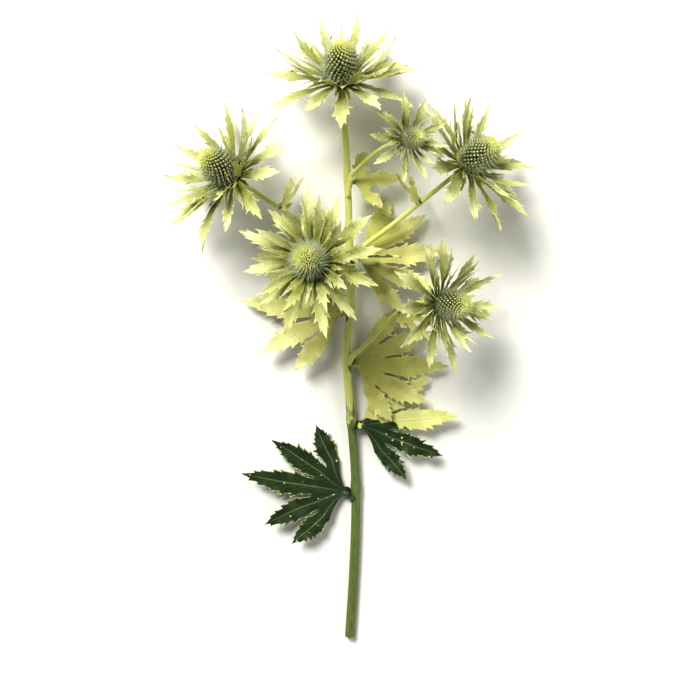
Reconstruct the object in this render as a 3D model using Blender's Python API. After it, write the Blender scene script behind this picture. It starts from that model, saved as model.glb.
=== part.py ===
"""Sea holly stem: one cut, branching stem with spiny flower heads, laid on a table.

Metres, +Z up. The stem lies along +Y with its heads at the +Y end. The table is z = 0, and the
origin lies on it below the middle of the stem's outline.
"""

import math
import random
from collections import namedtuple

import bpy
import bmesh
from mathutils import Matrix, Vector

MM = 0.001

# The plan is measured from the cut end in millimetres. This moves it over the origin.
PLAN_SHIFT = Vector((-0.2, -268.8, 0.0))

# Main stem
CUT_END = (0.0, 0.0, 4.2)
MAIN_ROUTE = [CUT_END, (4, 75, 4.9), (5, 140, 6.2), (1, 200, 8.2), (-3, 256, 11.5), (1, 300, 15.0),
              (0, 346, 20.5), (-2, 410, 32.0)]
CUT_RADIUS = 4.2
NECK_RADIUS = 2.5
NECK_BELOW_HEAD = 34.0
NODE_SWELL = 1.22
MAIN_STEPS = 3

# Side stalks. Each leaves the main stem a hair's breadth above its skin, outwards and along it.
SIDE_ROOT_RADIUS = 2.3
SIDE_NECK_RADIUS = 1.9
SIDE_OUT = 0.80
SIDE_ALONG = 0.60
SIDE_PULL = 0.42
SIDE_SUNK = 0.8
SIDE_STEPS = 9
THINNEST_SIDE = 0.8
STEM_GAP = 0.35

# Flower head, at a head size of 1
CONE_RADIUS = 14.5
CONE_HEIGHT = 34.0
CONE_SIDES = 14
CONE_LEVELS = 7
CONE_WIDEST = 0.36
CONE_FOOT = 1.28
CONE_SEAT = 3.0
SEAT_RADIUS = 4.0
SEAT_HEIGHTS = (-14.0, -5.0, -1.5, CONE_SEAT - 0.3)
RING_IN = 4.6
RING_OUT = 8.2
INNER_RING_LEVEL = 2.0
SHEET_THICKNESS = 0.9

# A whorl's bracts leave at the start angle from the head's axis and end at the end angle, where
# every other one is higher or lower by the spread. Millimetres and degrees.
Whorl = namedtuple("Whorl", "length half_width start end spread")
OUTER_WHORL = Whorl(55.0, 6.8, 84.0, 93.0, 13.0)
INNER_WHORL = Whorl(50.0, 5.2, 68.0, 36.0, 10.0)

# How much one bract or lobe may differ from the next: shares of its spacing, length and half
# width, a share of the spread (for a lobe, degrees), then degrees of sway and of twist.
Vary = namedtuple("Vary", "azimuth length half_width level sway twist")
BRACT_VARY = Vary(0.10, 0.09, 0.12, 0.7, 5.0, 16.0)
LOBE_VARY = Vary(0.0, 0.05, 0.0, 8.0, 6.0, 18.0)

# Half outlines of a blade: how far along, and the share of its half width there.
RUFF_OUTLINE = [(0.0, 0.24), (0.30, 0.44), (0.50, 0.64), (0.59, 1.08), (0.61, 0.66), (0.72, 1.0),
                (0.74, 0.56), (0.88, 0.30)]
SPEAR_OUTLINE = [(0.0, 0.24), (0.28, 0.44), (0.50, 0.62), (0.60, 1.08), (0.63, 0.56), (0.74, 0.80),
                 (0.77, 0.38)]
LOBE_OUTLINE = [(0.0, 0.60), (0.20, 0.78), (0.30, 1.0), (0.34, 0.78), (0.56, 0.92), (0.60, 0.56),
                (0.82, 0.34)]

# Leaf. Its lobes are fanned, with the outer ones shorter. The palm is as listed: the distance out
# as a share of the palm, and how far the lobes' directions are spread there.
PALM_SHARE = 0.34
PALM = [(0.06, 0.90), (0.28, 0.26), (0.58, 0.72)]
LEAF_SPREAD = 52.0
SIDE_LOBE_CUT = 0.42
SIDE_LOBE_POWER = 1.3
LOBE_NARROWEST = 0.72
LEAF_BELOW_NODE = 7.0

Head = namedtuple("Head", "name base axis size inner outer node seed")
Leaf = namedtuple("Leaf", "name host place out face length width lobes curl seed")
Blade = namedtuple("Blade", "azimuth length half_width start end sway twist")

# The node is the number of the point of MAIN_ROUTE where the side stem leaves.
HEADS = [
    Head("top", (-6, 486, 58.0), (-0.05, 0.90, 0.42), 1.00, 10, 12, None, 130),
    Head("left", (-92, 412, 54.5), (-0.64, 0.56, 0.52), 0.98, 10, 12, 6, 22),
    Head("right", (92, 420, 52.1), (0.62, 0.60, 0.50), 0.96, 10, 12, 6, 3395),
    Head("upper", (-28, 352, 98), (-0.24, 0.30, 0.92), 0.95, 10, 12, 5, 44),
    Head("lower", (72, 312, 66), (0.66, 0.10, 0.74), 0.88, 10, 11, 4, 55),
    Head("young", (44, 446, 96), (0.40, 0.20, 0.88), 0.52, 8, 9, 7, 66),
]

# The host is the main stem, where the place is a point of MAIN_ROUTE, or a side stem, where it is
# a share of its length. Out is where the middle lobe points and face is the way the leaf faces.
LEAVES = [
    Leaf("leaf_low_left", "main", 2, (-1.0, 0.16, 0.02), (0.06, 0.10, 1.0), 92, 11, 5, -8, 713),
    Leaf("leaf_low_right", "main", 3, (1.0, 0.12, 0.02), (-0.06, 0.10, 1.0), 86, 10, 5, -7, 85),
    Leaf("leaf_mid_right", "main", 4, (1.0, -0.08, -0.06), (0.00, 0.10, 1.0), 84, 10, 5, -6, 73),
    Leaf("leaf_mid_left", "main", 5, (-1.0, 0.05, -0.08), (0.00, 0.16, 1.0), 88, 10, 5, -4, 74),
    Leaf("bract_left", "main", 6, (-1.0, 0.05, -0.15), (0.00, 0.26, 1.0), 78, 9, 5, -4, 75),
    Leaf("bract_right", "main", 6, (1.0, 0.05, -0.15), (0.00, 0.26, 1.0), 80, 9, 5, -4, 76),
    Leaf("bract_upper", "main", 6, (0.30, 0.40, 1.0), (0.0, 1.0, -0.4), 60, 8, 3, 12, 77),
    Leaf("bract_young", "main", 7, (0.90, 0.10, -0.30), (0.1, 0.6, 0.85), 46, 7, 3, 2, 78),
    Leaf("bractlet_left", "left", 0.5, (0.60, 0.50, 0.25), (-0.66, 0.68, 0.30), 36, 6, 3, -35, 79),
    Leaf("bractlet_right", "right", 0.5, (-0.60, 0.50, 0.30), (0.66, 0.68, 0.30), 36, 6, 3, -35, 80),
    Leaf("bractlet_lower", "lower", 0.5, (0.50, -0.60, 0.40), (0.60, 0.60, 0.50), 34, 6, 3, -35, 81),
    Leaf("bractlet_upper", "upper", 0.45, (-0.8, -0.3, 0.2), (-0.2, 0.50, 0.85), 34, 6, 3, -35, 82),
]


def placed(point):
    """A point of the plan, in metres about the origin."""
    return (Vector(point) + PLAN_SHIFT) * MM


def head_frame(head):
    """Rotation whose z axis is the head's axis and whose x axis is level."""
    axis = Vector(head.axis).normalized()
    level = axis.cross(Vector((0, 0, 1))).normalized()
    return Matrix((level, axis.cross(level), axis)).transposed()


def smooth_route(points, steps):
    """Points of a Catmull-Rom curve through the given points."""
    points = [Vector(p) for p in points]
    ends = [2 * points[0] - points[1]] + points + [2 * points[-1] - points[-2]]
    route = []
    for p0, p1, p2, p3 in zip(ends, ends[1:], ends[2:], ends[3:]):
        for step in range(steps):
            t = step / steps
            route.append(0.5 * (2 * p1 + (p2 - p0) * t + (2 * p0 - 5 * p1 + 4 * p2 - p3) * t ** 2
                                + (3 * p1 - p0 - 3 * p2 + p3) * t ** 3))
    return route + [points[-1]]


def bezier(p0, p1, p2, p3, steps):
    """Points of a cubic Bezier curve."""
    route = []
    for step in range(steps + 1):
        t = step / steps
        s = 1 - t
        route.append(s ** 3 * p0 + 3 * s * s * t * p1 + 3 * s * t * t * p2 + t ** 3 * p3)
    return route


def material(name, colour, roughness):
    """A plain Principled finish."""
    mat = bpy.data.materials.new(name)
    mat.use_nodes = True
    shader = mat.node_tree.nodes["Principled BSDF"]
    shader.inputs["Base Color"].default_value = (*colour, 1.0)
    shader.inputs["Roughness"].default_value = roughness
    return mat


def add_object(name, data, mat):
    """An object of its own for one piece of the plant."""
    data.materials.append(mat)
    piece = bpy.data.objects.new(name, data)
    bpy.context.collection.objects.link(piece)
    return piece


def add_tube(name, route, radii, mat):
    """A tapered stalk with closed ends. The route is in the plan's millimetres."""
    curve = bpy.data.curves.new(name, "CURVE")
    curve.dimensions = "3D"
    curve.bevel_depth = MM
    curve.bevel_resolution = 2
    curve.use_fill_caps = True
    spline = curve.splines.new("POLY")
    spline.points.add(len(route) - 1)
    for point, place, radius in zip(spline.points, route, radii):
        point.co = (*placed(place), 1.0)
        point.radius = radius
    return add_object(name, curve, mat)


def blade_frame(centre, axis, first, blade, ring, t):
    """Centre point and sideways direction of a blade at t, from its root (0) to its tip (1)."""
    turn = Matrix.Rotation(blade.azimuth + blade.sway * t, 3, axis)
    out = turn @ first
    root_out = Matrix.Rotation(blade.azimuth, 3, axis) @ first
    bend = blade.end - blade.start
    angle = blade.start + bend * t
    along = (math.sin(angle) - math.sin(blade.start)) / bend
    away = (math.cos(blade.start) - math.cos(angle)) / bend
    point = centre + ring * root_out + blade.length * (along * axis + away * out)
    tangent = math.cos(angle) * axis + math.sin(angle) * out
    side = Matrix.Rotation(blade.twist * t, 3, tangent) @ axis.cross(out)
    return point, side


def add_fan(name, spot, blades, outline, collar, closed, mat):
    """Blades round a flat collar: a whole whorl when closed, else a leaf with fanned lobes.

    The spot is (centre, axis, first direction, ring where the blades start). The collar lists the
    rows of points inside that ring as (radius, share of each blade's azimuth).
    """
    centre, axis, first, ring = spot
    mesh = bpy.data.meshes.new(name)
    bm = bmesh.new()
    strips = []
    for blade in blades:
        lefts, rights = [], []
        for t, share in outline:
            point, side = blade_frame(centre, axis, first, blade, ring, t)
            reach = side * share * blade.half_width
            lefts.append(bm.verts.new(placed(point - reach)))
            rights.append(bm.verts.new(placed(point + reach)))
        tip = bm.verts.new(placed(blade_frame(centre, axis, first, blade, ring, 1.0)[0]))
        for i in range(len(outline) - 1):
            bm.faces.new((lefts[i], rights[i], rights[i + 1], lefts[i + 1]))
        bm.faces.new((lefts[-1], rights[-1], tip))
        half_angle = math.atan2(outline[0][1] * blade.half_width, ring)
        strip = []
        for radius, spread in collar:
            pair = []
            for angle in (blade.azimuth - half_angle, blade.azimuth + half_angle):
                spoke = Matrix.Rotation(angle * spread, 3, axis) @ first
                pair.append(bm.verts.new(placed(centre + radius * spoke)))
            strip.append(pair)
        strip.append([lefts[0], rights[0]])
        for lower, upper in zip(strip, strip[1:]):
            bm.faces.new((lower[0], lower[1], upper[1], upper[0]))
        strips.append(strip)
    pairs = list(zip(strips, strips[1:]))
    if closed:
        pairs.append((strips[-1], strips[0]))
    for strip, following in pairs:
        for i in range(len(collar)):
            bm.faces.new((strip[i][1], following[i][0], following[i + 1][0], strip[i + 1][1]))
    bmesh.ops.recalc_face_normals(bm, faces=bm.faces)
    bm.to_mesh(mesh)
    bm.free()
    piece = add_object(name, mesh, mat)
    solid = piece.modifiers.new("thickness", "SOLIDIFY")
    solid.thickness = SHEET_THICKNESS * MM
    solid.offset = 0.0


def ruff_blades(head, inner):
    """The bracts of one whorl of a head, each a little different."""
    chance = random.Random(head.seed + (1000 if inner else 0))
    count = head.inner if inner else head.outer
    whorl = INNER_WHORL if inner else OUTER_WHORL
    vary = BRACT_VARY
    blades = []
    for i in range(count):
        jitter = Vary(*[chance.uniform(-1, 1) for _ in Vary._fields])
        level = (1 if i % 2 else -1) + vary.level * jitter.level
        blades.append(Blade(
            azimuth=math.tau * (i + vary.azimuth * jitter.azimuth) / count,
            length=whorl.length * head.size * (1 + vary.length * jitter.length),
            half_width=whorl.half_width * head.size * (1 + vary.half_width * jitter.half_width),
            start=math.radians(whorl.start),
            end=math.radians(whorl.end + whorl.spread * level),
            sway=math.radians(vary.sway * jitter.sway),
            twist=math.radians(vary.twist * jitter.twist),
        ))
    return blades


def leaf_blades(leaf):
    """The lobes of one leaf, fanned from its base and longest in the middle."""
    chance = random.Random(leaf.seed)
    reach = leaf.length * (1 - PALM_SHARE)
    middle = (leaf.lobes - 1) / 2
    vary = LOBE_VARY
    blades = []
    for i in range(leaf.lobes):
        jitter = Vary(*[chance.uniform(-1, 1) for _ in Vary._fields])
        place = (i - middle) / middle
        share = 1 - SIDE_LOBE_CUT * abs(place) ** SIDE_LOBE_POWER
        blades.append(Blade(
            azimuth=math.radians(LEAF_SPREAD) * place,
            length=reach * share * (1 + vary.length * jitter.length),
            half_width=leaf.width * (LOBE_NARROWEST + (1 - LOBE_NARROWEST) * share),
            start=math.radians(90),
            end=math.radians(90 + leaf.curl + vary.level * jitter.level),
            sway=math.radians(vary.sway * jitter.sway),
            twist=math.radians(vary.twist * jitter.twist),
        ))
    return blades


def cone_profile(share):
    """Radius of a flower cone, as a share of its widest, at a share of its height."""
    if share > CONE_WIDEST:
        return math.sqrt(max(0.0, 1 - ((share - CONE_WIDEST) / (1 - CONE_WIDEST)) ** 2))
    return math.sqrt(1 - ((CONE_WIDEST - share) / (CONE_FOOT * CONE_WIDEST)) ** 2)


def add_cone(head, mat):
    """The egg-shaped cone of a head, as one turned solid."""
    rotation = head_frame(head)
    seat = Vector(head.base) + rotation @ Vector((0, 0, CONE_SEAT))
    bm = bmesh.new()
    rings = []
    for level in range(CONE_LEVELS):
        share = math.sin(0.5 * math.pi * level / CONE_LEVELS)
        radius = CONE_RADIUS * head.size * cone_profile(share)
        height = CONE_HEIGHT * head.size * share
        ring = []
        for i in range(CONE_SIDES):
            angle = math.tau * i / CONE_SIDES
            local = Vector((radius * math.cos(angle), radius * math.sin(angle), height))
            ring.append(bm.verts.new(placed(seat + rotation @ local)))
        rings.append(ring)
    tip = bm.verts.new(placed(seat + rotation @ Vector((0, 0, CONE_HEIGHT * head.size))))
    bm.faces.new(reversed(rings[0]))
    for lower, upper in zip(rings, rings[1:]):
        for i in range(CONE_SIDES):
            j = (i + 1) % CONE_SIDES
            bm.faces.new((lower[i], lower[j], upper[j], upper[i]))
    for i in range(CONE_SIDES):
        bm.faces.new((rings[-1][i], rings[-1][(i + 1) % CONE_SIDES], tip))
    mesh = bpy.data.meshes.new("flower_cone_" + head.name)
    bm.to_mesh(mesh)
    bm.free()
    mesh.shade_smooth()
    return add_object(mesh.name, mesh, mat)


def add_head(head, bract_mat, cone_mat):
    """One flower head: an outer and an inner ruff of bracts with the cone above them."""
    rotation = head_frame(head)
    axis = rotation.col[2]
    first = rotation.col[0]
    outer_centre = Vector(head.base)
    inner_centre = outer_centre + axis * INNER_RING_LEVEL
    ring = RING_IN + (RING_OUT - RING_IN) * head.size
    collar = [(RING_IN, 1.0)]
    add_fan("outer_ruff_" + head.name, (outer_centre, axis, first, ring), ruff_blades(head, False),
            RUFF_OUTLINE, collar, True, bract_mat)
    add_fan("inner_ruff_" + head.name, (inner_centre, axis, first, ring), ruff_blades(head, True),
            SPEAR_OUTLINE, collar, True, bract_mat)
    add_cone(head, cone_mat)


def seat_points(head):
    """The last points of a stalk: below the head, then up through its rings."""
    axis = Vector(head.axis).normalized()
    return [Vector(head.base) + axis * height for height in SEAT_HEIGHTS]


def bare_radius(along):
    """The main stem's radius between its nodes, at a distance along the table."""
    return CUT_RADIUS + (NECK_RADIUS - CUT_RADIUS) * along / HEADS[0].base[1]


def add_main_stem(head, mat):
    """The main stem, from its cut end to the top head, swollen where leaves and stalks leave."""
    neck = Vector(head.base) - Vector(head.axis).normalized() * NECK_BELOW_HEAD
    seat = seat_points(head)
    route = smooth_route(MAIN_ROUTE + [neck, seat[0]], MAIN_STEPS)[:-1] + seat
    nodes = [node[1] for node in MAIN_ROUTE[2:]]
    radii = []
    for place in route:
        at_node = any(math.isclose(place.y, node, abs_tol=0.01) for node in nodes)
        radii.append(bare_radius(place.y) * (NODE_SWELL if at_node else 1))
    radii[-2:] = [SEAT_RADIUS, SEAT_RADIUS]
    add_tube("main_stem", route, radii, mat)


def node_radius(node):
    """The main stem's radius at one of its nodes."""
    return NODE_SWELL * bare_radius(MAIN_ROUTE[node][1])


def side_route(head):
    """Points and radii of a side stalk that leaves at a node and curves up to its head."""
    node = Vector(MAIN_ROUTE[head.node])
    axis = Vector(head.axis).normalized()
    seat = seat_points(head)
    end = seat[0]
    out = Vector((end.x - node.x, 0, end.z - node.z)).normalized()
    leave = (out * SIDE_OUT + Vector((0, SIDE_ALONG, 0))).normalized()
    size = max(head.size, THINNEST_SIDE)
    root = node + out * (node_radius(head.node) + SIDE_ROOT_RADIUS * size * SIDE_SUNK + STEM_GAP)
    pull = SIDE_PULL * (end - root).length
    route = bezier(root, root + leave * pull, end - axis * pull, end, SIDE_STEPS)[:-1] + seat
    radii = []
    for i in range(len(route)):
        share = i / (len(route) - 1)
        radii.append(size * (SIDE_ROOT_RADIUS + (SIDE_NECK_RADIUS - SIDE_ROOT_RADIUS) * share))
    radii[-2:] = [SEAT_RADIUS, SEAT_RADIUS]
    return route, radii


def leaf_root(leaf):
    """Where a leaf leaves its stem, and the stem's radius there."""
    if leaf.host == "main":
        below = Vector((0, LEAF_BELOW_NODE, 0))
        return Vector(MAIN_ROUTE[leaf.place]) - below, node_radius(leaf.place)
    head = next(h for h in HEADS if h.name == leaf.host)
    route, radii = side_route(head)
    index = round(leaf.place * (len(route) - 1))
    return route[index], radii[index]


def add_leaf(leaf, mat):
    """A spiny, palmate leaf that clasps its stem."""
    out = Vector(leaf.out).normalized()
    face = Vector(leaf.face)
    axis = (face - out * face.dot(out)).normalized()
    root, radius = leaf_root(leaf)
    palm = leaf.length * PALM_SHARE
    spot = (root + out * (radius + STEM_GAP), axis, out, palm)
    collar = [(palm * share, spread) for share, spread in PALM]
    add_fan(leaf.name, spot, leaf_blades(leaf), LOBE_OUTLINE, collar, False, mat)


def main():
    for old in list(bpy.data.objects):
        bpy.data.objects.remove(old, do_unlink=True)
    bract = material("tinted_bract", (0.78, 0.80, 0.30), 0.55)
    cone = material("flower_cone", (0.36, 0.42, 0.24), 0.7)
    stem = material("tinted_stem", (0.50, 0.52, 0.12), 0.6)
    leaf = material("green_leaf", (0.05, 0.10, 0.03), 0.5)
    add_main_stem(HEADS[0], stem)
    for head in HEADS:
        add_head(head, bract, cone)
        if head.node is not None:
            add_tube("side_stem_" + head.name, *side_route(head), stem)
    for plan in LEAVES:
        add_leaf(plan, leaf if plan.name.startswith("leaf_low") else bract)


main()
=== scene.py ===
# %% [markdown]
# # A tinted sea holly stem on a table
# The part is one cut stem of large-headed sea holly, tinted pale lemon as florists sell it, lying
# on a table. Its solids are already built. This lesson loads them as a fixed frame and makes the
# surfaces that the eye sees: toothed bracts with veins, cones packed with florets, ribbed stalks and
# spiny leaves.

# %% The imported model
import math
import random
from collections import namedtuple
from functools import partial

import bmesh
import bpy
import numpy as np
from mathutils import Matrix, Vector


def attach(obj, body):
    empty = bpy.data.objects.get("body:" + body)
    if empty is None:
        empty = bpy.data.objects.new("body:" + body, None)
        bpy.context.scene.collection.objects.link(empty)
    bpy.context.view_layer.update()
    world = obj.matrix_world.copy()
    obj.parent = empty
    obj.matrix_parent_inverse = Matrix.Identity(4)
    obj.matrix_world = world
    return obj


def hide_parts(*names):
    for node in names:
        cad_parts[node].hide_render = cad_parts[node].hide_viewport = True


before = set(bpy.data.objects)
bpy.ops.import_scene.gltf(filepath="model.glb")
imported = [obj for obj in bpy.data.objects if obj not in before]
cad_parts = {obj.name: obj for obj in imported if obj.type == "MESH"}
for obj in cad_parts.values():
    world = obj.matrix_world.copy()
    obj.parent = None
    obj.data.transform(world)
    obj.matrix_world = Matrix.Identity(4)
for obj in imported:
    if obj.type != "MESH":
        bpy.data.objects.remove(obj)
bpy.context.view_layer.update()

# %% [markdown]
# ## The plan
# A real stem is measured from its cut end, so the plan is too: millimetres along the stem, with
# the table at height 0. One shift takes it to the model's origin. The same plan made the solids,
# so every bract made here lies where its solid lies, and nothing has to be fitted by eye.

# %% Stem, heads and leaves
MM = 0.001
PLAN_SHIFT = Vector((-0.2, -268.8, 0.0))

MAIN_ROUTE = [(0, 0, 4.2), (4, 75, 4.9), (5, 140, 6.2), (1, 200, 8.2), (-3, 256, 11.5), (1, 300, 15.0),
              (0, 346, 20.5), (-2, 410, 32.0)]
CUT_RADIUS = 4.2
NECK_RADIUS = 2.5
NECK_BELOW_HEAD = 34.0
NODE_SWELL = 1.22

SIDE_ROOT_RADIUS = 2.3
SIDE_NECK_RADIUS = 1.9
SIDE_OUT = 0.80
SIDE_ALONG = 0.60
SIDE_PULL = 0.42
SIDE_SUNK = 0.8
THINNEST_SIDE = 0.8
STEM_GAP = 0.35

CONE_SEAT = 3.0
SEAT_BELOW_HEAD = 14.0
SEAT_RADIUS = 4.0
RING_IN = 4.6
RING_OUT = 8.2
INNER_RING_LEVEL = 2.0

Whorl = namedtuple("Whorl", "length half_width start end spread")
OUTER_WHORL = Whorl(55.0, 6.8, 84.0, 93.0, 13.0)
INNER_WHORL = Whorl(50.0, 5.2, 68.0, 36.0, 10.0)

Vary = namedtuple("Vary", "azimuth length half_width level sway twist")
BRACT_VARY = Vary(0.10, 0.09, 0.12, 0.7, 5.0, 16.0)
LOBE_VARY = Vary(0.0, 0.05, 0.0, 8.0, 6.0, 18.0)

PALM_SHARE = 0.34
LEAF_SPREAD = 52.0
SIDE_LOBE_CUT = 0.42
SIDE_LOBE_POWER = 1.3
LOBE_NARROWEST = 0.72
LEAF_BELOW_NODE = 7.0

Head = namedtuple("Head", "name base axis size inner outer node seed")
Leaf = namedtuple("Leaf", "name host place out face length width lobes curl seed")
Blade = namedtuple("Blade", "azimuth length half_width start end sway twist")

HEADS = [
    Head("top", (-6, 486, 58.0), (-0.05, 0.90, 0.42), 1.00, 10, 12, None, 130),
    Head("left", (-92, 412, 54.5), (-0.64, 0.56, 0.52), 0.98, 10, 12, 6, 22),
    Head("right", (92, 420, 52.1), (0.62, 0.60, 0.50), 0.96, 10, 12, 6, 3395),
    Head("upper", (-28, 352, 98), (-0.24, 0.30, 0.92), 0.95, 10, 12, 5, 44),
    Head("lower", (72, 312, 66), (0.66, 0.10, 0.74), 0.88, 10, 11, 4, 55),
    Head("young", (44, 446, 96), (0.40, 0.20, 0.88), 0.52, 8, 9, 7, 66),
]

LEAVES = [
    Leaf("leaf_low_left", "main", 2, (-1.0, 0.16, 0.02), (0.06, 0.10, 1.0), 92, 11, 5, -8, 713),
    Leaf("leaf_low_right", "main", 3, (1.0, 0.12, 0.02), (-0.06, 0.10, 1.0), 86, 10, 5, -7, 85),
    Leaf("leaf_mid_right", "main", 4, (1.0, -0.08, -0.06), (0.00, 0.10, 1.0), 84, 10, 5, -6, 73),
    Leaf("leaf_mid_left", "main", 5, (-1.0, 0.05, -0.08), (0.00, 0.16, 1.0), 88, 10, 5, -4, 74),
    Leaf("bract_left", "main", 6, (-1.0, 0.05, -0.15), (0.00, 0.26, 1.0), 78, 9, 5, -4, 75),
    Leaf("bract_right", "main", 6, (1.0, 0.05, -0.15), (0.00, 0.26, 1.0), 80, 9, 5, -4, 76),
    Leaf("bract_upper", "main", 6, (0.30, 0.40, 1.0), (0.0, 1.0, -0.4), 60, 8, 3, 12, 77),
    Leaf("bract_young", "main", 7, (0.90, 0.10, -0.30), (0.1, 0.6, 0.85), 46, 7, 3, 2, 78),
    Leaf("bractlet_left", "left", 0.5, (0.60, 0.50, 0.25), (-0.66, 0.68, 0.30), 36, 6, 3, -35, 79),
    Leaf("bractlet_right", "right", 0.5, (-0.60, 0.50, 0.30), (0.66, 0.68, 0.30), 36, 6, 3, -35, 80),
    Leaf("bractlet_lower", "lower", 0.5, (0.50, -0.60, 0.40), (0.60, 0.60, 0.50), 34, 6, 3, -35, 81),
    Leaf("bractlet_upper", "upper", 0.45, (-0.8, -0.3, 0.2), (-0.2, 0.50, 0.85), 34, 6, 3, -35, 82),
]


def placed(point):
    """A point of the plan, in metres about the origin."""
    return (Vector(point) + PLAN_SHIFT) * MM


def head_frame(head):
    """Rotation whose z axis is the head's axis and whose x axis is level."""
    axis = Vector(head.axis).normalized()
    level = axis.cross(Vector((0, 0, 1))).normalized()
    return Matrix((level, axis.cross(level), axis)).transposed()


def blade_frame(centre, axis, first, blade, ring, t):
    """Centre point, sideways and lengthwise directions of a blade at t, root (0) to tip (1)."""
    turn = Matrix.Rotation(blade.azimuth + blade.sway * t, 3, axis)
    out = turn @ first
    root_out = Matrix.Rotation(blade.azimuth, 3, axis) @ first
    bend = blade.end - blade.start
    angle = blade.start + bend * t
    along = (math.sin(angle) - math.sin(blade.start)) / bend
    away = (math.cos(blade.start) - math.cos(angle)) / bend
    point = centre + ring * root_out + blade.length * (along * axis + away * out)
    tangent = math.cos(angle) * axis + math.sin(angle) * out
    side = Matrix.Rotation(blade.twist * t, 3, tangent) @ axis.cross(out)
    return point, side, tangent


def ruff_blades(head, inner):
    """The bracts of one whorl of a head, each a little different."""
    chance = random.Random(head.seed + (1000 if inner else 0))
    count = head.inner if inner else head.outer
    whorl = INNER_WHORL if inner else OUTER_WHORL
    vary = BRACT_VARY
    blades = []
    for i in range(count):
        jitter = Vary(*[chance.uniform(-1, 1) for _ in Vary._fields])
        level = (1 if i % 2 else -1) + vary.level * jitter.level
        blades.append(Blade(
            azimuth=math.tau * (i + vary.azimuth * jitter.azimuth) / count,
            length=whorl.length * head.size * (1 + vary.length * jitter.length),
            half_width=whorl.half_width * head.size * (1 + vary.half_width * jitter.half_width),
            start=math.radians(whorl.start),
            end=math.radians(whorl.end + whorl.spread * level),
            sway=math.radians(vary.sway * jitter.sway),
            twist=math.radians(vary.twist * jitter.twist),
        ))
    return blades


def leaf_blades(leaf):
    """The lobes of one leaf, fanned from its base and longest in the middle."""
    chance = random.Random(leaf.seed)
    reach = leaf.length * (1 - PALM_SHARE)
    middle = (leaf.lobes - 1) / 2
    vary = LOBE_VARY
    blades = []
    for i in range(leaf.lobes):
        jitter = Vary(*[chance.uniform(-1, 1) for _ in Vary._fields])
        place = (i - middle) / middle
        share = 1 - SIDE_LOBE_CUT * abs(place) ** SIDE_LOBE_POWER
        blades.append(Blade(
            azimuth=math.radians(LEAF_SPREAD) * place,
            length=reach * share * (1 + vary.length * jitter.length),
            half_width=leaf.width * (LOBE_NARROWEST + (1 - LOBE_NARROWEST) * share),
            start=math.radians(90),
            end=math.radians(90 + leaf.curl + vary.level * jitter.level),
            sway=math.radians(vary.sway * jitter.sway),
            twist=math.radians(vary.twist * jitter.twist),
        ))
    return blades


print("heads:", [head.name for head in HEADS], "leaves:", len(LEAVES))

# %% [markdown]
# ## Routes of the stalks
# A stem bends a little at each node, so its middle line is a smooth curve through the nodes. A side
# stalk leaves at about 50 degrees and turns until it meets its head square on, which a Bezier curve
# does with two handles.

# %% Middle lines and radii
def smooth_route(points, steps):
    """Points of a Catmull-Rom curve through the given points."""
    points = [Vector(p) for p in points]
    ends = [2 * points[0] - points[1]] + points + [2 * points[-1] - points[-2]]
    route = []
    for p0, p1, p2, p3 in zip(ends, ends[1:], ends[2:], ends[3:]):
        for step in range(steps):
            t = step / steps
            route.append(0.5 * (2 * p1 + (p2 - p0) * t + (2 * p0 - 5 * p1 + 4 * p2 - p3) * t ** 2
                                + (3 * p1 - p0 - 3 * p2 + p3) * t ** 3))
    return route + [points[-1]]


def bezier(p0, p1, p2, p3, steps):
    """Points of a cubic Bezier curve."""
    route = []
    for step in range(steps + 1):
        t = step / steps
        s = 1 - t
        route.append(s ** 3 * p0 + 3 * s * s * t * p1 + 3 * s * t * t * p2 + t ** 3 * p3)
    return route


def bare_radius(along):
    """The main stem's radius between its nodes, at a distance along the table."""
    return CUT_RADIUS + (NECK_RADIUS - CUT_RADIUS) * along / HEADS[0].base[1]


def node_radius(node):
    """The main stem's radius at one of its nodes."""
    return NODE_SWELL * bare_radius(MAIN_ROUTE[node][1])


# How a stalk widens into the seat of its head: heights above the head's base, and how much of the
# way from the stalk's radius to the seat's it has gone.
SEAT = [(-SEAT_BELOW_HEAD, 0), (-11, 0), (-8, 0), (-6, 0.04), (-4.5, 0.14), (-3.4, 0.32), (-2.4, 0.58),
        (-1.4, 0.84), (0, 1), (CONE_SEAT - 0.3, 1)]
SWELL_REACH = 4.5
# A side stalk peels off the main stem: how far out and how far along its line lies before it leaves.
SIDE_PEEL = ((0.6, -17.0), (1.5, -12.0), (2.6, -7.8), (3.9, -4.4), (5.3, -1.7))


def add_seat(route, radii, head):
    """Carries a stalk on from below its head, up through the rings of bracts."""
    axis = Vector(head.axis).normalized()
    neck = radii[-1]
    for height, share in SEAT:
        route.append(Vector(head.base) + axis * height)
        radii.append(neck + (SEAT_RADIUS - neck) * share)
    return route, radii


def main_route():
    """Middle line and radii of the main stem, in the plan's millimetres."""
    head = HEADS[0]
    axis = Vector(head.axis).normalized()
    neck = Vector(head.base) - axis * NECK_BELOW_HEAD
    route = smooth_route(MAIN_ROUTE + [neck, Vector(head.base) - axis * SEAT_BELOW_HEAD], 14)[:-1]
    radii = []
    for place in route:
        swell = sum(math.exp(-((place.y - node[1] + 2) / SWELL_REACH) ** 2) for node in MAIN_ROUTE[2:])
        radii.append(bare_radius(place.y) * (1 + (NODE_SWELL - 1) * swell))
    return add_seat(route, radii, head)


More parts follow.
